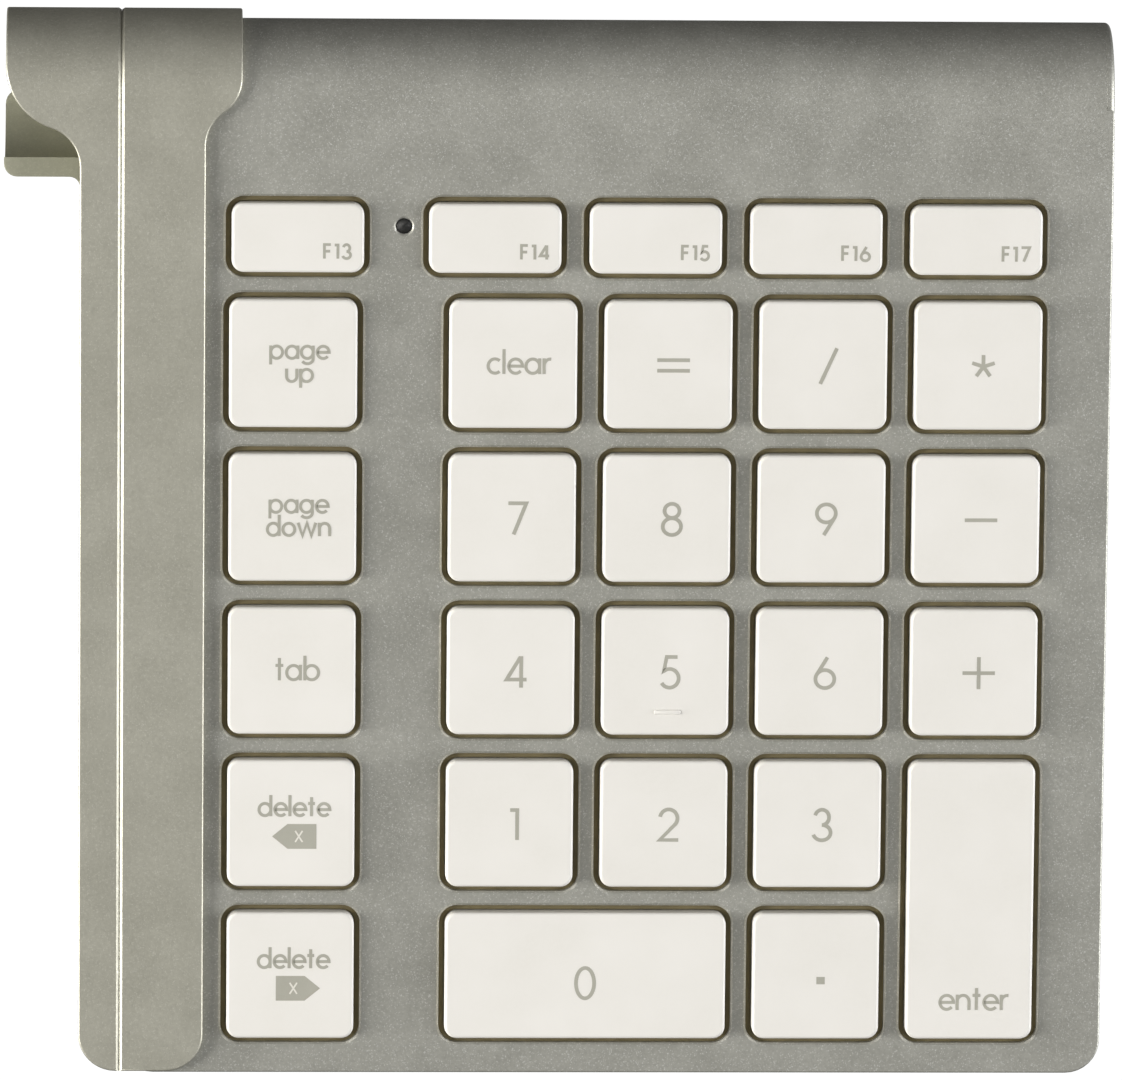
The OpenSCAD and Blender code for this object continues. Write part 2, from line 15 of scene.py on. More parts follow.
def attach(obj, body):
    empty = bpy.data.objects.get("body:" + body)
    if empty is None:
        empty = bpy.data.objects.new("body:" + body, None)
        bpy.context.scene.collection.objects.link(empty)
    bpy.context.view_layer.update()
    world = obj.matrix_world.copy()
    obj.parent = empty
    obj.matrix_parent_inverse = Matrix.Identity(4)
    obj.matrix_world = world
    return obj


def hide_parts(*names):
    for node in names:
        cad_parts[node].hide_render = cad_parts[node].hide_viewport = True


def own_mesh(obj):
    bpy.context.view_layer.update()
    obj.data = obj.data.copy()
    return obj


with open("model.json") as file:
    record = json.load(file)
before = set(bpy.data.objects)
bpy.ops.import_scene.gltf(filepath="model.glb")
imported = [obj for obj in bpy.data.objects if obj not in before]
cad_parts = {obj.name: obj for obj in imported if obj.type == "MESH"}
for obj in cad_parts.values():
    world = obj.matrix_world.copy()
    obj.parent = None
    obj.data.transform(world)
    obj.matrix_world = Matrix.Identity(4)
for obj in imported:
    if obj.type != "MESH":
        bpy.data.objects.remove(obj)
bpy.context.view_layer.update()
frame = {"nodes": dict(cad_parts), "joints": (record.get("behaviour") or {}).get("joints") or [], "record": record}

MM = 0.001
JOINTS = {j["name"]: j for j in frame["joints"]}
SLOT_OF = {p["node"]: p["material_slot"] for p in frame["record"]["subparts"]}
KEYS = sorted(n for n in frame["nodes"] if n.startswith("key_"))


# ---- The deck's directions ----

def deck_matrix():
    up = -Vector(JOINTS["press_5"]["axis"]).normalized()
    right = Vector((1, 0, 0))
    turn = Matrix((right, up.cross(right), up))
    points = [turn @ v.co for v in frame["nodes"]["top_shell"].data.vertices]
    corner = Vector((
        min(p.x for p in points),
        min(p.y for p in points),
        max(p.z for p in points),
    ))
    back = turn.inverted()
    return Matrix.Translation(back @ corner) @ back.to_4x4() @ Matrix.Scale(MM, 4)


FROM_DECK = deck_matrix()
TO_DECK = FROM_DECK.inverted()


def deck_box(node):
    """Lowest and highest corner of a CAD node in deck directions, in millimetres."""
    points = [TO_DECK @ v.co for v in frame["nodes"][node].data.vertices]
    low = Vector([min(p[i] for p in points) for i in range(3)])
    high = Vector([max(p[i] for p in points) for i in range(3)])
    return low, high


def centre_and_size(node):
    low, high = deck_box(node)
    return (low + high) / 2, high - low


# ---- Sizes, in millimetres ----

SHELL_LOW, SHELL_HIGH = deck_box("top_shell")
CELL_LOW, CELL_HIGH = deck_box("battery_1")
WIDTH = SHELL_HIGH.x - SHELL_LOW.x
AXIS_S = (CELL_LOW.y + CELL_HIGH.y) / 2
TUBE_R = -(CELL_LOW.z + CELL_HIGH.z) / 2
TUBE_WALL = 0.8
CAP_RIM = 1.0
RIM_GAP = 0.05
END_EDGE = 0.03
LEFT_EDGE = 0.15
PLATE_T = 1.0
SKIRT_H = -3.0
SIDE_WALL = 1.0
HOLLOW_BACK = 2
CORNER_R = 4.2
EDGE_R = 0.26
WELL_R = 2.2
WELL_EDGE = 0.28
WELL_SLOPE = 0.6
CAP_GAP = 0.72
CAP_R = 1.5
CAP_EDGE = 0.42
CAP_TOP = deck_box("key_5")[1].z
CAP_SKIN = 0.8
CAP_WALL = 0.9
CAP_SKIRT = 2.45
CAP_INNER_R = 0.6
PIPE_GAP = 0.05
INK_T = 0.015
SMOOTH_ANGLE = math.radians(34)
ARC_STEPS = 8
TURN_STEPS = 128
NORMAL_WEIGHT = 80
HAIR = 0.001  # keeps a cut or a corner just off the next edge

CLIP_LOW, CLIP_HIGH = deck_box("clip_top_plate")
CLIP_TOP = CLIP_HIGH.z
CLIP_UNDER = 0.05
CLIP_FRONT_S = CLIP_LOW.y
CLIP_FRONT_R = 4.6
CLIP_EDGE = 0.24
SEAM_X = 0.05
GROOVE_HALF = 0.375
GROOVE_D = 0.22
SEAM_SHARE = 0.05
FLARE_RIGHT = CLIP_HIGH.x
FLARE_LEFT = -CLIP_LOW.x
REACH_RIGHT = 10.35
REACH_LEFT = 5.0
FLARE_R_RIGHT = 5.0
FLARE_R_LEFT = 8.0
NECK_R = 5.0
TURN_S_RIGHT = 123.3
TURN_S_LEFT = 124.7
WRAP_END = math.radians(110)
WRAP_EASE = 0.012
WRAP_CUTS = 40
WRAP_MID_R = TUBE_R + (CLIP_UNDER + CLIP_TOP) / 2


# ---- Mesh helpers ----

def arc(cx, cy, r, start, end, steps=ARC_STEPS):
    """Points of an arc between two angles in degrees."""
    points = []
    for i in range(steps + 1):
        a = math.radians(start + (end - start) * i / steps)
        points.append((cx + r * math.cos(a), cy + r * math.sin(a)))
    return points


def circle(cx, cy, r, points=24):
    return arc(cx, cy, r, 0, 360 - 360 / points, points - 1)


def rounded_rectangle(cx, cy, w, d, r):
    """Outline of a rectangle with rounded corners, anticlockwise."""
    x, y = w / 2 - r, d / 2 - r
    return (
        arc(cx + x, cy + y, r, 0, 90)
        + arc(cx - x, cy + y, r, 90, 180)
        + arc(cx - x, cy - y, r, 180, 270)
        + arc(cx + x, cy - y, r, 270, 360)
    )


def edge_profile(top, r, steps=5):
    """(inset, height) pairs of a rounded upper edge, from the side wall to the top."""
    pairs = []
    for i in range(steps + 1):
        a = math.radians(90 * i / steps)
        pairs.append((r - r * math.cos(a), top - r + r * math.sin(a)))
    return pairs


def chamfer_profile(top, wide, deep):
    """(inset, height) pairs of a flat chamfer with softened corners."""
    pairs = [(0.0, top - deep * 1.25)]
    for u in (0.04, 0.14, 0.86, 0.97):
        pairs.append((wide * u, top - deep * (1 - u)))
    pairs.append((wide * 1.08, top))
    return pairs


def add_loop(bm, outline, h):
    return [bm.verts.new((x, s, h)) for x, s in outline]


def bridge(bm, low, high, finish=0):
    """Quads between two loops of the same length, in the piece's first or second finish."""
    n = len(low)
    for i in range(n):
        j = (i + 1) % n
        face = bm.faces.new((low[i], low[j], high[j], high[i]))
        face.material_index = finish


def loft(bm, loops, finish=0):
    for low, high in zip(loops, loops[1:]):
        bridge(bm, low, high, finish)


def loop_edges(bm, loop):
    edges = []
    for a, b in zip(loop, loop[1:] + loop[:1]):
        edges.append(bm.edges.get((a, b)) or bm.edges.new((a, b)))
    return edges


def fill(bm, *loops):
    """A flat face inside the first loop, with the other loops as its holes."""
    edges = [e for loop in loops for e in loop_edges(bm, loop)]
    bmesh.ops.triangle_fill(bm, use_beauty=True, edges=edges)


def prism(bm, outline, h0, h1):
    low, high = add_loop(bm, outline, h0), add_loop(bm, outline, h1)
    bridge(bm, low, high)
    fill(bm, low)
    fill(bm, high)


def turned(bm, x, r, i):
    """Vertex i of the circle of radius r about the tube's axis."""
    a = 2 * math.pi * i / TURN_STEPS
    return bm.verts.new((x, AXIS_S + r * math.sin(a), r * math.cos(a) - TUBE_R))


def revolve(bm, profile):
    """A ring solid about the tube's axis from a closed profile of (x, radius)."""
    rings = [[turned(bm, x, r, i) for x, r in profile] for i in range(TURN_STEPS)]
    for a, b in zip(rings, rings[1:] + rings[:1]):
        bridge(bm, a, b)


def add_cylinder(bm, x0, x1, r):
    """A plain cylinder along the tube."""
    low, high = [[turned(bm, x, r, i) for i in range(TURN_STEPS)] for x in (x0, x1)]
    bridge(bm, low, high)
    bm.faces.new(low)
    bm.faces.new(high)


def mark_sharp(bm):
    for e in bm.edges:
        if len(e.link_faces) == 2:
            e.smooth = e.calc_face_angle(0) < SMOOTH_ANGLE


def link(name, mesh):
    obj = bpy.data.objects.new(name, mesh)
    bpy.context.scene.collection.objects.link(obj)
    return obj


def weigh_normals(obj):
    m = obj.modifiers.new("normals", "WEIGHTED_NORMAL")
    m.keep_sharp = True
    m.weight = NORMAL_WEIGHT


def piece(name, bm, body, slot, replaces=(), material=None, edge=None):
    """Turns a closed bmesh, drawn in deck millimetres, into a piece that rides on a body."""
    bmesh.ops.recalc_face_normals(bm, faces=bm.faces)
    mark_sharp(bm)
    mesh = bpy.data.meshes.new(name)
    bm.to_mesh(mesh)
    bm.free()
    mesh.transform(FROM_DECK)
    mesh.shade_smooth()
    mesh.materials.clear()
    mesh.materials.append(material or MATERIALS[slot])
    if edge:
        mesh.materials.append(MATERIALS[edge])
    obj = link(name, mesh)
    weigh_normals(obj)
    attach(obj, body)
    if replaces:
        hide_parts(*replaces)
    return obj


def subtract(bm, cutters, finishes):
    """The mesh of bm less the cutters, as a new bmesh."""
    meshes = []
    for b in [bm, *cutters]:
        bmesh.ops.recalc_face_normals(b, faces=b.faces)
        mesh = bpy.data.meshes.new("scratch")
        for material in finishes:
            mesh.materials.append(MATERIALS[material])
        b.to_mesh(mesh)
        b.free()
        meshes.append(mesh)
    objects = [link("scratch", m) for m in meshes]
    for cutter in objects[1:]:
        m = objects[0].modifiers.new("cut", "BOOLEAN")
        m.operation = "DIFFERENCE"
        m.solver = "EXACT"
        m.object = cutter
    bpy.context.view_layer.update()
    graph = bpy.context.evaluated_depsgraph_get()
    done = bmesh.new()
    done.from_mesh(bpy.data.meshes.new_from_object(objects[0].evaluated_get(graph)))
    for obj in objects:
        bpy.data.objects.remove(obj)
    return done


# ---- Materials ----

def linear(rgb):
    """Scene-linear colour from display values of 0 to 255."""
    out = []
    for c in rgb:
        c = c / 255
        out.append(c / 12.92 if c <= 0.04045 else ((c + 0.055) / 1.055) ** 2.4)
    return (*out, 1.0)


class Finish:
    """A node material built round one Principled shader, in the object's own coordinates."""

    def __init__(self, name, **sockets):
        self.material = bpy.data.materials.new(name)
        self.material.use_nodes = True
        self.tree = self.material.node_tree
        self.shader = self.tree.nodes["Principled BSDF"]
        for key, value in sockets.items():
            self.shader.inputs[key.replace("_", " ")].default_value = value
        self.place = self.tree.nodes.new("ShaderNodeTexCoord").outputs["Object"]

    def node(self, kind, inputs=(), **settings):
        made = self.tree.nodes.new(kind)
        for key, value in settings.items():
            setattr(made, key, value)
        for key, value in dict(inputs).items():
            if isinstance(value, bpy.types.NodeSocket):
                self.tree.links.new(value, made.inputs[key])
            else:
                made.inputs[key].default_value = value
        return made

    def stretched(self, x, y, z):
        return self.node(
            "ShaderNodeMapping", {"Vector": self.place, "Scale": (x, y, z)}
        ).outputs["Vector"]

    def noise(self, size_mm, detail=3.0, roughness=0.5, place=None):
        inputs = {
            "Vector": place or self.place,
            "Scale": 1 / (size_mm * MM),
            "Detail": detail,
            "Roughness": roughness,
        }
        return self.node("ShaderNodeTexNoise", inputs).outputs["Fac"]

    def cells(self, size_mm):
        """A random value for each cell of the size given."""
        inputs = {"Vector": self.place, "Scale": 1 / (size_mm * MM)}
        colour = self.node("ShaderNodeTexVoronoi", inputs).outputs["Color"]
        return self.node("ShaderNodeSeparateColor", {"Color": colour}).outputs["Red"]

    def spread(self, value, low, high, to_low=0.0, to_high=1.0):
        inputs = {
            "Value": value,
            "From Min": low,
            "From Max": high,
            "To Min": to_low,
            "To Max": to_high,
        }
        return self.node("ShaderNodeMapRange", inputs).outputs["Result"]

    def mixed(self, value, first, second):
        made = self.node("ShaderNodeMix", data_type="RGBA")
        sockets = {"Factor": value, "A": first, "B": second}
        for key, given in sockets.items():
            found = [i for i in made.inputs if i.name == key and i.enabled]
            if isinstance(given, bpy.types.NodeSocket):
                self.tree.links.new(given, found[0])
            else:
                found[0].default_value = given
        return [o for o in made.outputs if o.enabled][0]

    def feed(self, key, socket):
        self.tree.links.new(socket, self.shader.inputs[key])

    def bump(self, height, depth_mm, strength=1.0):
        made = self.node(
            "ShaderNodeBump",
            {"Height": height, "Distance": depth_mm * MM, "Strength": strength},
        )
        self.feed("Normal", made.outputs["Normal"])


def flaked_paint(
    name, dark, base, light, painted_glint, roughness, metallic=0.88, sparkle=0.5
):
    """Satin metallic paint: soft mottling, fine grain, and painted glints: bright specks painted into the colour
    for the flakes' sparkle.
    """
    f = Finish(name, Metallic=metallic)
    mottle = f.spread(f.noise(7.0, 4.0), 0.3, 0.7)
    colour = f.mixed(mottle, linear(base), linear(light))
    colour = f.mixed(f.spread(f.noise(0.45, 2.0), 0.3, 0.7, 0.0, 0.3), colour, linear(dark))
    colour = f.mixed(f.spread(f.cells(0.2), 0.45, 1.0, 0.0, 0.3), colour, linear(light))
    # Painted glints: the brightest cells are lightened towards the glint colour, painted highlights standing in
    # for flake sparkle.
    colour = f.mixed(f.spread(f.cells(0.12), 0.86, 1.0, 0.0, sparkle), colour, linear(painted_glint))
    f.feed("Base Color", colour)
    f.feed("Roughness", f.spread(f.noise(0.35), 0.2, 0.8, roughness - 0.06, roughness + 0.06))
    f.bump(f.noise(0.3, 3.0), 0.006, 0.5)
    return f.material


def moulded_plastic(name, base, light, roughness, grain_mm=0.25, depth_mm=0.004, **sockets):
    """Matt plastic with faint clouding and a fine moulded texture."""
    f = Finish(name, **sockets)
    cloud = f.spread(f.noise(9.0, 3.0), 0.3, 0.7)
    speck = f.spread(f.noise(0.5, 2.0), 0.3, 0.7, 0.0, 0.3)
    colour = f.mixed(cloud, linear(base), linear(light))
    colour = f.mixed(speck, colour, linear(light))
    f.feed("Base Color", colour)
    f.feed("Roughness", f.spread(f.noise(1.2), 0.2, 0.8, roughness - 0.05, roughness + 0.05))
    f.bump(f.noise(grain_mm, 3.0), depth_mm, 0.6)
    return f.material


def bare_metal(name, base, light, roughness):
    """Plain metal with fine drawn lines along X."""
    f = Finish(name, Metallic=1.0)
    lines = f.noise(0.3, 3.0, 0.6, f.stretched(0.05, 1.0, 1.0))
    f.feed("Base Color", f.mixed(f.spread(lines, 0.3, 0.7), linear(base), linear(light)))
    f.feed("Roughness", f.spread(lines, 0.3, 0.7, roughness - 0.07, roughness + 0.07))
    f.bump(lines, 0.004, 0.5)
    return f.material


def soft_rubber(name, base, light, roughness=0.75):
    """Rubber with a slight bloom and a fine tooth."""
    f = Finish(name)
    f.feed("Base Color", f.mixed(f.spread(f.noise(2.5), 0.3, 0.7), linear(base), linear(light)))
    f.feed("Roughness", f.spread(f.noise(0.8), 0.2, 0.8, roughness - 0.08, roughness + 0.08))
    f.bump(f.noise(0.15, 3.0), 0.01, 0.6)
    return f.material


def printed_film(name):
    """Film over printed tracks that run across the keypad."""
    f = Finish(name, IOR=1.45)
    track = f.node(
        "ShaderNodeTexWave",
        {"Vector": f.place, "Scale": 160.0, "Distortion": 1.5, "Detail": 1.0},
        bands_direction="Y",
    ).outputs["Fac"]
    colour = f.mixed(f.spread(track, 0.6, 0.8), linear((196, 184, 142)), linear((208, 196, 156)))
    colour = f.mixed(f.spread(f.noise(4.0), 0.3, 0.7, 0.0, 0.4), colour, linear((180, 170, 130)))
    f.feed("Base Color", colour)
    f.feed("Roughness", f.spread(f.noise(1.0), 0.2, 0.8, 0.4, 0.55))
    f.bump(track, 0.01, 0.4)
    return f.material


def solder_mask(name):
    f = Finish(name, Coat_Weight=0.3)
    lines = f.spread(f.noise(0.8, 1.0, 0.3, f.stretched(0.2, 1.0, 1.0)), 0.52, 0.56)
    f.feed("Base Color", f.mixed(lines, linear((16, 70, 40)), linear((34, 104, 62))))
    f.feed("Roughness", f.spread(f.noise(1.0), 0.2, 0.8, 0.28, 0.4))
    f.bump(lines, 0.01, 0.5)
    return f.material


def cell_wrap(name):
    """Printed wrap of a cell: a plain clouded green, no lettering."""
    f = Finish(name)
    cloud = f.spread(f.noise(5.0), 0.3, 0.7)
    f.feed("Base Color", f.mixed(cloud, linear((52, 96, 66)), linear((72, 122, 84))))
    f.feed("Roughness", f.spread(f.noise(1.5), 0.2, 0.8, 0.25, 0.4))
    f.bump(f.noise(0.6), 0.01, 0.3)
    return f.material


def make_materials():
    return {
        "shell_metal": flaked_paint(
            "shell_metal", (146, 145, 137), (174, 173, 164), (192, 191, 182), (240, 240, 236), 0.56),
        # Painted highlight: a pale, less metallic copy of the shell paint on the well rims, standing in for the
        # light they catch.
        "shell_painted_highlight": flaked_paint(
            "shell_painted_highlight", (232, 230, 216), (238, 236, 222), (244, 242, 230), (252, 250, 242), 0.46,
            metallic=0.2),
        "clip_metal": flaked_paint(
            "clip_metal", (166, 164, 150), (186, 184, 170), (200, 198, 184), (244, 242, 232), 0.54,
            sparkle=0.28),
        # Painted highlight: a paler, glossier copy of the clip paint on the plate's rounded edges and seam groove,
        # standing in for their bright edge lines.
        "clip_painted_highlight": flaked_paint(
            "clip_painted_highlight", (202, 200, 186), (210, 208, 194), (218, 216, 204), (232, 230, 220), 0.34,
            metallic=0.6),
        # Painted shade: an olive-tinted copy of the clip paint for the cradle, which sits in the clip's shadow.
        "cradle_painted_shade": flaked_paint(
            "cradle_painted_shade", (166, 165, 144), (184, 183, 162), (197, 196, 175), (234, 233, 216), 0.54,
            sparkle=0.2),
        "white_plastic": moulded_plastic(
            "white_plastic", (232, 231, 227), (240, 239, 235), 0.5),
        "key_plastic": moulded_plastic(
            "key_plastic", (224, 221, 214), (229, 226, 220), 0.42, 0.2, 0.0025),
        # Painted glow: a warmer, yellower copy of the key plastic on the caps' sides, standing in for light that
        # comes through the plastic.
        "key_side_painted_glow": moulded_plastic(
            "key_side_painted_glow", (226, 206, 166), (231, 214, 179), 0.42, 0.2, 0.0025),
        "steel": bare_metal("steel", (176, 176, 174), (204, 204, 202), 0.32),
        "membrane_film": printed_film("membrane_film"),
        # Painted glow: the foam's olive colour stands in for the warm light seen in the gaps round the caps.
        "gasket_foam": soft_rubber("gasket_foam", (108, 99, 70), (122, 111, 79), 0.8),
        "dome_rubber": soft_rubber("dome_rubber", (196, 194, 186), (208, 206, 198), 0.6),
        "foot_rubber": soft_rubber("foot_rubber", (200, 200, 196), (212, 212, 208)),
        "seal_rubber": soft_rubber("seal_rubber", (28, 28, 28), (40, 40, 40), 0.55),
        "lever_plastic": moulded_plastic(
            "lever_plastic", (222, 220, 212), (232, 230, 222), 0.45),
        "board_laminate": solder_mask("board_laminate"),
        "black_plastic": moulded_plastic("black_plastic", (26, 26, 27), (36, 36, 37), 0.4),
        "led_lens": moulded_plastic(
            "led_lens", (150, 190, 140), (176, 210, 160), 0.2, Transmission_Weight=0.3),
        "light_pipe_plastic": moulded_plastic(
            "light_pipe_plastic", (16, 16, 15), (24, 24, 22), 0.6),
        "sleeve_plastic": moulded_plastic("sleeve_plastic", (62, 62, 64), (74, 74, 76), 0.45),
        "contact_brass": bare_metal("contact_brass", (196, 170, 96), (220, 196, 124), 0.28),
        "lead_plastic": moulded_plastic("lead_plastic", (150, 34, 30), (172, 46, 40), 0.4),
        "cell_can": cell_wrap("cell_can"),
        "ink": moulded_plastic("ink", (160, 158, 146), (170, 168, 156), 0.5, 0.15, 0.002),
        "ink_light": moulded_plastic(
            "ink_light", (216, 213, 203), (222, 219, 210), 0.5, 0.15, 0.002),
    }


# ---- Deck skin and battery tube ----

def slab_outline(inset, back):
    """The slab seen square to it, pulled in from its front and sides."""
    r = CORNER_R - inset
    return (
        arc(inset + r, inset + r, r, 180, 270)
        + arc(WIDTH - inset - r, inset + r, r, 270, 360)
        + [(WIDTH - inset, back), (inset, back)]
    )


def openings():
    """(centre X, centre S, width, depth, radius) of every opening in the slab."""
    found = []
    for key in KEYS:
        centre, size = centre_and_size(key)
        found.append(
            (centre.x, centre.y, size.x + 2 * CAP_GAP, size.y + 2 * CAP_GAP, WELL_R))
    centre, size = centre_and_size("light_pipe")
    hole = size.x + 2 * PIPE_GAP
    found.append((centre.x, centre.y, hole, hole, hole / 2 - HAIR))
    return found


def add_openings(bm):
    """Walls of the openings; gives their rims in the top face and in the underside."""
    tops, unders = [], []
    for x, s, w, d, r in openings():
        loops = [add_loop(bm, rounded_rectangle(x, s, w, d, r), -PLATE_T)]
        for inset, h in chamfer_profile(0, WELL_EDGE, WELL_EDGE * WELL_SLOPE):
            grown = rounded_rectangle(x, s, w + 2 * inset, d + 2 * inset, r + inset)
            loops.append(add_loop(bm, grown, h))
        bridge(bm, loops[0], loops[1])
        # The key wells' rim chamfers take the second finish, the painted highlight.
        loft(bm, loops[1:], 1 if w > 2 * WELL_R else 0)
        tops.append(loops[-1])
        unders.append(loops[0])
    return tops, unders


def clear_for_tube(bm):
    """Cuts the tube's bore and the battery cap's rim out of the slab."""
    bore, rim = bmesh.new(), bmesh.new()
    add_cylinder(bore, -1, WIDTH + 1, TUBE_R - TUBE_WALL)
    add_cylinder(rim, WIDTH - CAP_RIM - END_EDGE, WIDTH + 1, TUBE_R + RIM_GAP)
    return subtract(bm, [bore, rim], ["shell_metal", "shell_painted_highlight"])


def make_deck_skin():
    bm = bmesh.new()
    outer = [add_loop(bm, slab_outline(0, AXIS_S), SKIRT_H)]
    for inset, h in edge_profile(0, EDGE_R):
        outer.append(add_loop(bm, slab_outline(inset, AXIS_S), h))
    loft(bm, outer)
    hollow = slab_outline(SIDE_WALL, AXIS_S - HOLLOW_BACK)
    inner = [add_loop(bm, hollow, h) for h in (SKIRT_H, -PLATE_T)]
    loft(bm, inner)
    tops, unders = add_openings(bm)
    fill(bm, outer[-1], *tops)
    fill(bm, inner[1], *unders)
    fill(bm, outer[0], inner[0])
    bm = clear_for_tube(bm)
    piece("deck_skin", bm, "deck", "shell_metal", ["top_shell"], edge="shell_painted_highlight")


def make_tube():
    bm = bmesh.new()
    end = WIDTH - CAP_RIM
    inner = TUBE_R - TUBE_WALL
    soft = LEFT_EDGE / 3
    revolve(bm, [
        (0.0, inner), (0.0, TUBE_R - LEFT_EDGE), (soft, TUBE_R - soft), (LEFT_EDGE, TUBE_R),
        (end - END_EDGE, TUBE_R), (end, TUBE_R - END_EDGE), (end, inner),
    ])
    piece("battery_tube", bm, "deck", "shell_metal", ["top_shell"])


# ---- Keys ----

HOOK_X = 3.2
HOOK_HALF = 0.4
HOOK_REACH = 4.6
HOOK_INSET = 3.35
HOOK_TIP = 0.05
HOOK_IN = 0.35
HOOK_OUT = 0.75
HOOK_TOE_T = 0.35
HOOK_SINK = 0.1
BAR_L = 3.3
BAR_W = 0.6
BAR_R = 0.295
BAR_OFFSET = (0.3, -5.0)
DOME_R = 2.6
DOME_INSET = 3.75
DOME_FOOT_T = 0.5
DOME_LIP = 0.1
DOME_RISE = 1.6
DOME_SHOULDER = 0.97
DOME_CROWN = 0.55
DOME_TIP = 0.5
DOME_CURVE = 1.3


def make_keycap(key):
    centre, size = centre_and_size(key)
    bottom = CAP_TOP - CAP_SKIRT

    def outline(inset, r):
        return rounded_rectangle(
            centre.x, centre.y, size.x - 2 * inset, size.y - 2 * inset, r)

    bm = bmesh.new()
    outer = [add_loop(bm, outline(0, CAP_R), bottom)]
    for inset, h in edge_profile(CAP_TOP, CAP_EDGE, 6):
        outer.append(add_loop(bm, outline(inset, CAP_R - inset), h))
    # The side wall and the lower part of the rounded edge take the second finish, the painted glow.
    loft(bm, outer[:4], 1)
    loft(bm, outer[3:])
    bm.faces.new(outer[-1])
    under = CAP_TOP - CAP_SKIN
    inner = [add_loop(bm, outline(CAP_WALL, CAP_INNER_R), h) for h in (bottom, under)]
    loft(bm, inner)
    bm.faces.new(inner[1])
    bridge(bm, outer[0], inner[0])
    add_hooks(bm, centre, size, deck_box(key)[0].z, under)
    piece("cap_" + key[4:], bm, key, "key_plastic", [key], edge="key_side_painted_glow")


def add_hooks(bm, centre, size, toe, under):
    """The four hooks that hang from a cap beside the levers' raised bars."""
    reach = min(HOOK_REACH, (size.y + 2 * CAP_GAP) / 2 - HOOK_INSET)
    root, step = under + HOOK_SINK, toe + HOOK_TOE_T
    shape = [
        (HOOK_IN, root), (HOOK_IN, step), (HOOK_TIP, step),
        (HOOK_TIP, toe), (HOOK_OUT, toe), (HOOK_OUT, root),
    ]
    for x in (-HOOK_X, HOOK_X):
        for side in (-1, 1):
            ends = []
            for dx in (-HOOK_HALF, HOOK_HALF):
                ends.append([
                    bm.verts.new((centre.x + x + dx, centre.y + side * (reach + s), h))
                    for s, h in shape
                ])
            bridge(bm, ends[0], ends[1])
            fill(bm, ends[0])
            fill(bm, ends[1])


def make_locating_bar():
    """The low raised bar on the 5 key that a finger finds."""
    centre, _ = centre_and_size("key_5")
    x, s = centre.x + BAR_OFFSET[0], centre.y + BAR_OFFSET[1]
    bm = bmesh.new()
    rings = []
    for inset, h in ((0, -0.02), (0.02, 0.08), (0.07, 0.16), (0.14, 0.19)):
        outline = rounded_rectangle(
            x, s, BAR_L - 2 * inset, BAR_W - 2 * inset, BAR_R - inset)
        rings.append(add_loop(bm, outline, CAP_TOP + h))
    loft(bm, rings)
    bm.faces.new(rings[-1])
    bm.faces.new(reversed(rings[0]))
    piece("locating_bar", bm, "key_5", "key_plastic")


def dome_profile(foot, low, high):
    """(radius, height) of a dome: a flat foot, a rounded cone and a small crown."""
    start = low + DOME_FOOT_T + DOME_LIP
    shape = [(foot, low), (foot, low + DOME_FOOT_T), (foot * DOME_SHOULDER, start)]
    for i in range(1, 7):
        u = i / 6
        r = foot * (DOME_SHOULDER - (DOME_SHOULDER - DOME_CROWN) * u)
        shape.append((r, start + DOME_RISE * (1 - (1 - u) ** DOME_CURVE)))
    return shape + [(foot * DOME_CROWN, high - DOME_LIP), (foot * DOME_TIP, high)]


def make_domes():
    """One soft dome for each key, riding on the deck."""
    base_low, base_high = deck_box("rubber_domes")
    for key in KEYS:
        centre, size = centre_and_size(key)
        foot = min(DOME_R, (size.y + 2 * CAP_GAP) / 2 - DOME_INSET)
        bm = bmesh.new()
        loops = []
        for r, h in dome_profile(foot, base_low.z, base_high.z):
            loops.append(add_loop(bm, circle(centre.x, centre.y, r), h))
        loft(bm, loops)
        bm.faces.new(loops[0])
        bm.faces.new(loops[-1])
        name = key[4:]
        dome = piece("dome_" + name, bm, "deck", "dome_rubber")
        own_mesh(dome)
    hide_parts("rubber_domes")


# ---- Legends: a light round hand of single strokes ----

def ellipse(cx, cy, rx, ry, start=0, end=360, steps=28):
    points = []
    for i in range(steps + 1):
        a = math.radians(start + (end - start) * i / steps)
        points.append((cx + rx * math.cos(a), cy + ry * math.sin(a)))
    return points


def ring(cx, cy, rx, ry):
    """A closed ring: its last point is its first."""
    return ellipse(cx, cy, rx, ry, 90, 450, 36)


# Each glyph is its width and its strokes. Digits are one unit high, and small
# letters have an x-height of one unit.
DIGITS = {
    "0": (0.62, [ring(0.31, 0.5, 0.27, 0.46)]),
    "1": (0.34, [[(0.04, 0.93), (0.25, 0.93), (0.25, 0.03)]]),
    "2": (0.62, [ellipse(0.31, 0.69, 0.26, 0.27, 170, -38) + [(0.05, 0.04), (0.6, 0.04)]]),
    "3": (0.6, [
        ellipse(0.28, 0.73, 0.21, 0.23, 165, -90),
        ellipse(0.28, 0.27, 0.26, 0.23, 90, -165),
    ]),
    "4": (0.66, [
        [(0.49, 0.03), (0.49, 0.97)],
        [(0.47, 0.95), (0.06, 0.27), (0.65, 0.27)],
    ]),
    "5": (0.62, [
        [(0.52, 0.96), (0.2, 0.96), (0.12, 0.54)] + ellipse(0.29, 0.32, 0.27, 0.28, 125, -150)
    ]),
    "6": (0.64, [ring(0.33, 0.31, 0.28, 0.27), [(0.4, 0.96), (0.085, 0.44)]]),
    "7": (0.6, [[(0.04, 0.96), (0.57, 0.96), (0.2, 0.03)]]),
    "8": (0.64, [ring(0.32, 0.75, 0.22, 0.21), ring(0.32, 0.28, 0.27, 0.25)]),
    "9": (0.64, [ring(0.31, 0.69, 0.28, 0.27), [(0.24, 0.04), (0.555, 0.56)]]),
}
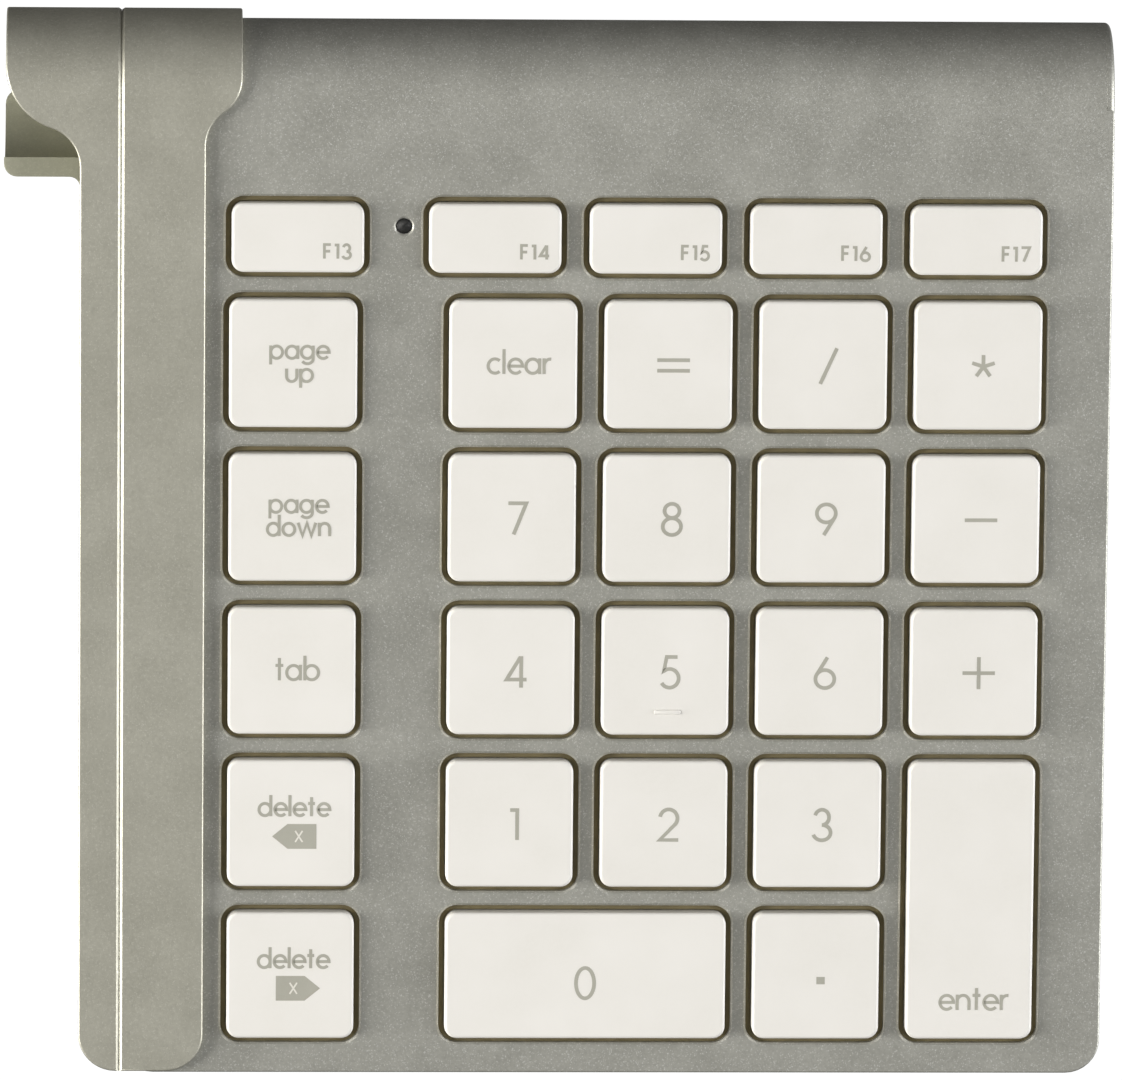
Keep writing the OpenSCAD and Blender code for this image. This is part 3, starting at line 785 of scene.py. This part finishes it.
LETTERS = {
    "a": (0.92, [ring(0.46, 0.5, 0.4, 0.42), [(0.86, 0.96), (0.86, 0.04)]]),
    "b": (0.94, [[(0.08, 1.5), (0.08, 0.04)], ring(0.48, 0.5, 0.4, 0.42)]),
    "c": (0.8, [ellipse(0.48, 0.5, 0.4, 0.42, 48, 312)]),
    "d": (0.94, [ring(0.46, 0.5, 0.4, 0.42), [(0.86, 1.5), (0.86, 0.04)]]),
    "e": (0.9, [[(0.08, 0.5)] + ellipse(0.48, 0.5, 0.4, 0.42, 0, 318)]),
    "g": (0.94, [
        ring(0.46, 0.5, 0.4, 0.42),
        [(0.86, 0.96), (0.86, 0.08)] + ellipse(0.47, 0.05, 0.39, 0.33, 0, -150, 14),
    ]),
    "l": (0.16, [[(0.08, 1.5), (0.08, 0.04)]]),
    "n": (0.84, [
        [(0.08, 0.96), (0.08, 0.04)],
        ellipse(0.43, 0.56, 0.35, 0.36, 180, 0, 16) + [(0.78, 0.04)],
    ]),
    "o": (0.92, [ring(0.46, 0.5, 0.4, 0.42)]),
    "p": (0.94, [[(0.08, 0.96), (0.08, -0.34)], ring(0.48, 0.5, 0.4, 0.42)]),
    "r": (0.5, [[(0.08, 0.96), (0.08, 0.04)], ellipse(0.43, 0.52, 0.35, 0.4, 180, 80, 10)]),
    "t": (0.5, [[(0.25, 1.36), (0.25, 0.04)], [(0.02, 0.92), (0.48, 0.92)]]),
    "u": (0.84, [
        [(0.08, 0.96)] + ellipse(0.43, 0.44, 0.35, 0.36, 180, 360, 16) + [(0.78, 0.96)],
    ]),
    "w": (1.3, [[(0.05, 0.96), (0.35, 0.06), (0.65, 0.94), (0.95, 0.06), (1.25, 0.96)]]),
}
CAPITAL_F = (0.52, [[(0.08, 0.03), (0.08, 0.96), (0.5, 0.96)], [(0.08, 0.52), (0.46, 0.52)]])
LETTER_GAP = 0.12
DIGIT_H = 4.15
DIGIT_W = 0.46
SMALL_X = 2.1
SMALL_W = 0.38
DELETE_X = SMALL_X * 0.86
PAGE_X = 1.8
PAGE_W = 0.36
CODE_H = 1.85
CODE_W = 0.34
CODE_GAP = 0.2
CROSS_W = 0.2
CROSS_HALF = (0.45, 0.7)
CROSS_SHIFT = 0.35
INK_SINK = 0.01
DOT_W = 0.92
SIGN_HALF = 2.0
RAY_L = 1.45
MITRE_LIMIT = 0.46
LAYER_STEP = 0.0015
LEGEND_PLACE = {
    "sign": (0.62, -0.04),
    "0": (0, -0.9),
    "code": (4.8, -1.65),
    "page": (0.75, 1.4),
    "up_down": (0.75, -1.45),
    "delete": (0.4, 1.75),
    "tag": (0.7, -1.6),
    "word": (0.7, -0.2),
    "enter": (0.6, -12.75),
}


def set_line(glyphs, size, gap, x, s):
    """Strokes of a line of glyphs, centred on (x, s), s being its middle height."""
    total = sum(g[0] for g in glyphs) + gap * (len(glyphs) - 1)
    at = -total / 2
    strokes = []
    for width, lines in glyphs:
        for line in lines:
            strokes.append([(x + (at + px) * size, s + (py - 0.5) * size) for px, py in line])
        at += width + gap
    return strokes


def word(text, size, x, s):
    return set_line([LETTERS[c] for c in text], size, LETTER_GAP, x, s)


def ribbon_sides(line, half):
    """The two sides of a stroke, and whether it closes on itself."""
    closed = math.dist(line[0], line[-1]) < 1e-4
    points = line[:-1] if closed else line
    n = len(points)
    left, right = [], []
    for i, (x, y) in enumerate(points):
        before = points[i - 1] if i or closed else None
        after = points[(i + 1) % n] if i < n - 1 or closed else None
        ways = []
        for a, b in ((before, (x, y)), ((x, y), after)):
            if a is not None and b is not None:
                d = math.dist(a, b)
                ways.append(((b[0] - a[0]) / d, (b[1] - a[1]) / d))
        tx, ty = (sum(w[0] for w in ways), sum(w[1] for w in ways))
        norm = math.hypot(tx, ty)
        nx, ny = -ty / norm, tx / norm
        grow = half / max(MITRE_LIMIT, nx * -ways[0][1] + ny * ways[0][0])
        left.append((x + nx * grow, y + ny * grow))
        right.append((x - nx * grow, y - ny * grow))
    return left, right, closed


def add_ribbon(bm, line, width, h0, h1):
    """A flat printed stroke as a thin closed strip."""
    left, right, closed = ribbon_sides(line, width / 2)
    rows = []
    for h in (h0, h1):
        rows.append((add_loop(bm, left, h), add_loop(bm, right, h)))
    (ll, lr), (hl, hr) = rows
    n = len(left)
    for i in range(n if closed else n - 1):
        j = (i + 1) % n
        bm.faces.new((hl[i], hr[i], hr[j], hl[j]))
        bm.faces.new((ll[i], ll[j], lr[j], lr[i]))
        bm.faces.new((ll[i], hl[i], hl[j], ll[j]))
        bm.faces.new((lr[i], lr[j], hr[j], hr[i]))
    if not closed:
        bm.faces.new((ll[0], lr[0], hr[0], hl[0]))
        bm.faces.new((ll[-1], hl[-1], hr[-1], lr[-1]))


def tag_outline(x, s, way):
    """The filled tag of a delete key: a block with one pointed end."""
    points = [(-2.45, -1.55), (1.1, -1.55), (3.0, 0), (1.1, 1.55), (-2.45, 1.55)]
    return [(x + way * px, s + py) for px, py in points]


def legend_strokes(name, x, s):
    """(strokes, stroke width, tag outline or None) for a key centred on (x, s)."""
    place = {k: (x + dx, s + ds) for k, (dx, ds) in LEGEND_PLACE.items()}
    if name in DIGITS:
        at = place.get(name, place["sign"])
        return set_line([DIGITS[name]], DIGIT_H, 0, *at), DIGIT_W, None
    if name.startswith("f1"):
        glyphs = [CAPITAL_F, DIGITS["1"], DIGITS[name[2]]]
        return set_line(glyphs, CODE_H, CODE_GAP, *place["code"]), CODE_W, None
    if name.startswith("page"):
        strokes = word("page", PAGE_X, *place["page"])
        strokes += word(name.split("_")[1], PAGE_X, *place["up_down"])
        return strokes, PAGE_W, None
    if name.startswith("delete"):
        way = -1 if name.endswith("back") else 1
        strokes = word("delete", DELETE_X, *place["delete"])
        return strokes, SMALL_W, tag_outline(*place["tag"], way)
    if name in ("tab", "clear", "enter"):
        at = place.get(name, place["word"])
        return word(name, SMALL_X, *at), SMALL_W, None
    width = DOT_W if name == "decimal" else DIGIT_W
    return sign_strokes(name, *place["sign"]), width, None


def sign_strokes(name, x, s):
    """An arithmetic sign; what is not named here is the five-rayed star."""
    half = SIGN_HALF
    if name == "equals":
        return [[(x - half, s + d), (x + half, s + d)] for d in (-0.65, 0.65)]
    if name == "divide":
        return [[(x - 1.0, s - 2.2), (x + 1.0, s + 2.2)]]
    if name == "minus":
        return [[(x - half, s), (x + half, s)]]
    if name == "plus":
        return [[(x - half, s), (x + half, s)], [(x, s - half), (x, s + half)]]
    if name == "decimal":
        return [[(x - 0.52, s - 0.5), (x + 0.52, s - 0.5)]]
    rays = []
    for i in range(5):
        a = math.radians(90 + 72 * i)
        rays.append([(x, s), (x + RAY_L * math.cos(a), s + RAY_L * math.sin(a))])
    return rays


def print_strokes(bm, strokes, width, top):
    """Ribbons sunk a little into the cap's top, each a step above the one before."""
    for i, line in enumerate(strokes):
        add_ribbon(bm, line, width, CAP_TOP - INK_SINK, top + LAYER_STEP * i)


def make_legend(key):
    centre, _ = centre_and_size(key)
    name = key[4:]
    strokes, width, tag = legend_strokes(name, centre.x, centre.y)
    bm = bmesh.new()
    print_strokes(bm, strokes, width, CAP_TOP + INK_T)
    if tag:
        prism(bm, tag, CAP_TOP - INK_SINK, CAP_TOP + INK_T)
    piece("legend_" + name, bm, key, None, material=MATERIALS["ink"])
    if tag:
        make_tag_cross(key, tag)


def make_tag_cross(key, tag):
    """The pale cross inside a delete key's tag, towards its square end."""
    name = key[4:]
    shift = CROSS_SHIFT if name.endswith("forward") else -CROSS_SHIFT
    x = sum(p[0] for p in tag) / len(tag) - shift
    s = sum(p[1] for p in tag) / len(tag)
    bm = bmesh.new()
    dx, ds = CROSS_HALF
    strokes = [[(x - dx, s - ds * way), (x + dx, s + ds * way)] for way in (-1, 1)]
    print_strokes(bm, strokes, CROSS_W, CAP_TOP + 2 * INK_T)
    piece("legend_mark_" + name, bm, key, None, material=MATERIALS["ink_light"])


# ---- Joining clip ----

def clip_side(wide, narrow, r1, r2, turn_s, back):
    """One side of the clip's plan: straight beside the tube, then two arcs."""
    a = math.degrees(math.acos((narrow + r2 - wide + r1) / (r1 + r2)))
    lower_s = turn_s - (r1 + r2) * math.sin(math.radians(a))
    return (
        [(wide, back)]
        + arc(wide - r1, turn_s, r1, 0, -a, 16)
        + arc(narrow + r2, lower_s, r2, 180 - a, 180, 10)
    )


def clip_half(side, inset, seam_inset):
    """Plan of one half of the top plate; side is 1 for the keypad, -1 for its neighbour."""
    back = AXIS_S + WRAP_MID_R * WRAP_END - inset
    if side > 0:
        wide, narrow, r, turn = FLARE_RIGHT, REACH_RIGHT, FLARE_R_RIGHT, TURN_S_RIGHT
    else:
        wide, narrow, r, turn = FLARE_LEFT, REACH_LEFT, FLARE_R_LEFT, TURN_S_LEFT
    points = clip_side(
        wide - inset, narrow - inset, r - inset, NECK_R + inset, turn, back)
    points += arc(
        narrow - CLIP_FRONT_R, CLIP_FRONT_S + CLIP_FRONT_R, CLIP_FRONT_R - inset, 0, -90, 10)
    seam = SEAM_X * side + seam_inset
    points += [(seam, CLIP_FRONT_S + inset), (seam, back)]
    return [(side * x, s) for x, s in points]


def wrap_over_tube(bm):
    """Bends what lies behind the tube's axis round the tube."""
    for i in range(WRAP_CUTS):
        geom = bm.verts[:] + bm.edges[:] + bm.faces[:]
        cut = (0, AXIS_S + HAIR + WRAP_MID_R * WRAP_END * i / WRAP_CUTS, 0)
        bmesh.ops.bisect_plane(bm, geom=geom, plane_co=cut, plane_no=(0, 1, 0))
    for v in bm.verts:
        if v.co.y > AXIS_S:
            a = (v.co.y - AXIS_S) / WRAP_MID_R
            r = TUBE_R + v.co.z - WRAP_EASE * math.sin(a)
            v.co.y = AXIS_S + r * math.sin(a)
            v.co.z = r * math.cos(a) - TUBE_R


def clip_levels():
    """(inset, seam inset, height) from the underside to the top."""
    levels = [(0.0, 0.0, CLIP_UNDER), (0.0, 0.0, CLIP_TOP - 2 * GROOVE_D)]
    for inset, h in edge_profile(CLIP_TOP, CLIP_EDGE, 6):
        u = max(0.0, 1 - (CLIP_TOP - h) / GROOVE_D)
        seam_inset = GROOVE_HALF * (SEAM_SHARE + (1 - SEAM_SHARE) * u)
        levels.append((inset, seam_inset, h))
    return levels


def make_clip_plate():
    for name, side in (("clip_plate_right", 1), ("clip_plate_left", -1)):
        bm = bmesh.new()
        loops = [add_loop(bm, clip_half(side, i, g), h) for i, g, h in clip_levels()]
        loft(bm, loops[:2])
        # The rounded edges and the groove take the second finish, the painted highlight.
        loft(bm, loops[1:], 1)
        fill(bm, loops[0])
        fill(bm, loops[-1])
        wrap_over_tube(bm)
        piece(
            name, bm, "joining_clip", "clip_metal", ["clip_top_plate"], edge="clip_painted_highlight")


# ---- CAD nodes that stay ----

BEVELS = {
    "bottom_cover": 0.35,
    "clip_lower_cradle": 0.36,
    "battery_cap": 0.06,
    "rubber_feet": 0.25,
    "switch_knob": 0.12,
    "left_end_plug": 0.15,
    "case_screws": 0.06,
    "scissor_outer_frames": 0.08,
    "scissor_inner_frames": 0.08,
    "controller_chip": 0.08,
    "radio_module": 0.08,
    "flex_connector": 0.08,
    "switch_body": 0.1,
}


def dress_nodes():
    for name, node in frame["nodes"].items():
        if node.hide_render:
            continue
        node.data.materials.clear()
        # The lower cradle takes the painted shade tint instead of its slot's finish.
        finish = "cradle_painted_shade" if name == "clip_lower_cradle" else SLOT_OF[name]
        node.data.materials.append(MATERIALS[finish])
        weld = node.modifiers.new("weld", "WELD")
        weld.merge_threshold = 1e-7
        if name in BEVELS:
            bevel = node.modifiers.new("edges", "BEVEL")
            bevel.width = BEVELS[name] * MM
            bevel.segments = 3
            bevel.limit_method = "ANGLE"
            bevel.angle_limit = SMOOTH_ANGLE
            bevel.use_clamp_overlap = True
        for polygon in node.data.polygons:
            polygon.use_smooth = True
        weigh_normals(node)


# ---- Floor, light and camera: places in metres, turns in degrees ----

PANEL_PLACE = (1.2, -0.07, 0.38)
PANEL_SIZE = (0.5, 1.0)
LEFT_POWER = 30
RIGHT_POWER = 19.5
WORLD_TOP = 0.3
WORLD_LOW = 0.05
WORLD_LOW_AT = 0.05
WORLD_TOP_AT = 0.45
CAMERA_PLACE = (-0.04864, 0.03584, 1.20998)
CAMERA_TURN = (-1.699, -2.343, 0.259)
CAMERA_LENS = 313.25
FLOOR_MM = 2400
FLOOR_CORNER_MM = 300
FLOOR_H_MM = -0.02


def make_floor():
    """A dark matt floor that the camera sees as plain white."""
    bm = bmesh.new()
    outline = rounded_rectangle(0, 0, FLOOR_MM, FLOOR_MM, FLOOR_CORNER_MM)
    loop = add_loop(bm, outline, FLOOR_H_MM)
    bm.faces.new(loop)
    mesh = bpy.data.meshes.new("floor")
    bm.to_mesh(mesh)
    bm.free()
    mesh.transform(Matrix.Scale(MM, 4))
    f = Finish("floor_paper", Roughness=0.9)
    f.shader.inputs["Specular IOR Level"].default_value = 0.0
    tone = f.spread(f.noise(40.0), 0.3, 0.7)
    f.feed("Base Color", f.mixed(tone, (0.06, 0.06, 0.06, 1), (0.07, 0.07, 0.07, 1)))
    path = f.node("ShaderNodeLightPath")
    glow = f.node("ShaderNodeEmission", {"Color": (1, 1, 1, 1), "Strength": 1.0})
    seen = f.node("ShaderNodeAddShader")
    f.tree.links.new(f.shader.outputs[0], seen.inputs[0])
    f.tree.links.new(glow.outputs[0], seen.inputs[1])
    pick = f.node("ShaderNodeMixShader", {"Fac": path.outputs["Is Camera Ray"]})
    f.tree.links.new(f.shader.outputs[0], pick.inputs[1])
    f.tree.links.new(seen.outputs[0], pick.inputs[2])
    out = f.tree.nodes["Material Output"]
    f.tree.links.new(pick.outputs[0], out.inputs["Surface"])
    mesh.materials.append(f.material)
    link("floor", mesh)


def area_light(name, place, power, colour):
    """A soft panel that faces the middle of the keypad."""
    data = bpy.data.lights.new(name, "AREA")
    data.shape = "RECTANGLE"
    data.size, data.size_y = PANEL_SIZE
    data.energy = power
    data.color = colour
    lamp = bpy.data.objects.new(name, data)
    bpy.context.scene.collection.objects.link(lamp)
    lamp.location = place
    lamp.rotation_euler = (-Vector(place)).to_track_quat("-Z", "Y").to_euler()


def make_lights():
    x, y, z = PANEL_PLACE
    area_light("soft_left", (-x, y, z), LEFT_POWER, (1.0, 0.985, 0.95))
    area_light("soft_right", (x, y, z), RIGHT_POWER, (0.97, 0.98, 1.0))
    make_world()


def make_world():
    """Even pale surroundings, darker towards the horizon."""
    world = bpy.data.worlds.new("studio")
    bpy.context.scene.world = world
    world.use_nodes = True
    tree = world.node_tree
    place = tree.nodes.new("ShaderNodeTexCoord")
    split = tree.nodes.new("ShaderNodeSeparateXYZ")
    ramp = tree.nodes.new("ShaderNodeValToRGB")
    tree.links.new(place.outputs["Generated"], split.inputs[0])
    tree.links.new(split.outputs["Z"], ramp.inputs["Fac"])
    ramp.color_ramp.elements[0].position = WORLD_LOW_AT
    ramp.color_ramp.elements[0].color = (*[WORLD_LOW] * 3, 1)
    ramp.color_ramp.elements[1].position = WORLD_TOP_AT
    ramp.color_ramp.elements[1].color = (*[WORLD_TOP] * 3, 1)
    tree.links.new(ramp.outputs["Color"], tree.nodes["Background"].inputs["Color"])


def make_camera():
    data = bpy.data.cameras.new("camera")
    data.sensor_width = 36
    data.lens = CAMERA_LENS
    data.clip_start = 0.05
    data.clip_end = 20
    camera = bpy.data.objects.new("camera", data)
    bpy.context.scene.collection.objects.link(camera)
    camera.location = CAMERA_PLACE
    camera.rotation_euler = Euler([math.radians(a) for a in CAMERA_TURN])
    bpy.context.scene.camera = camera
    bpy.context.scene.view_settings.view_transform = "Standard"


MATERIALS = make_materials()
make_deck_skin()
make_tube()
for key in KEYS:
    make_keycap(key)
    make_legend(key)
make_locating_bar()
make_domes()
make_clip_plate()
dress_nodes()
make_floor()
make_lights()
make_camera()
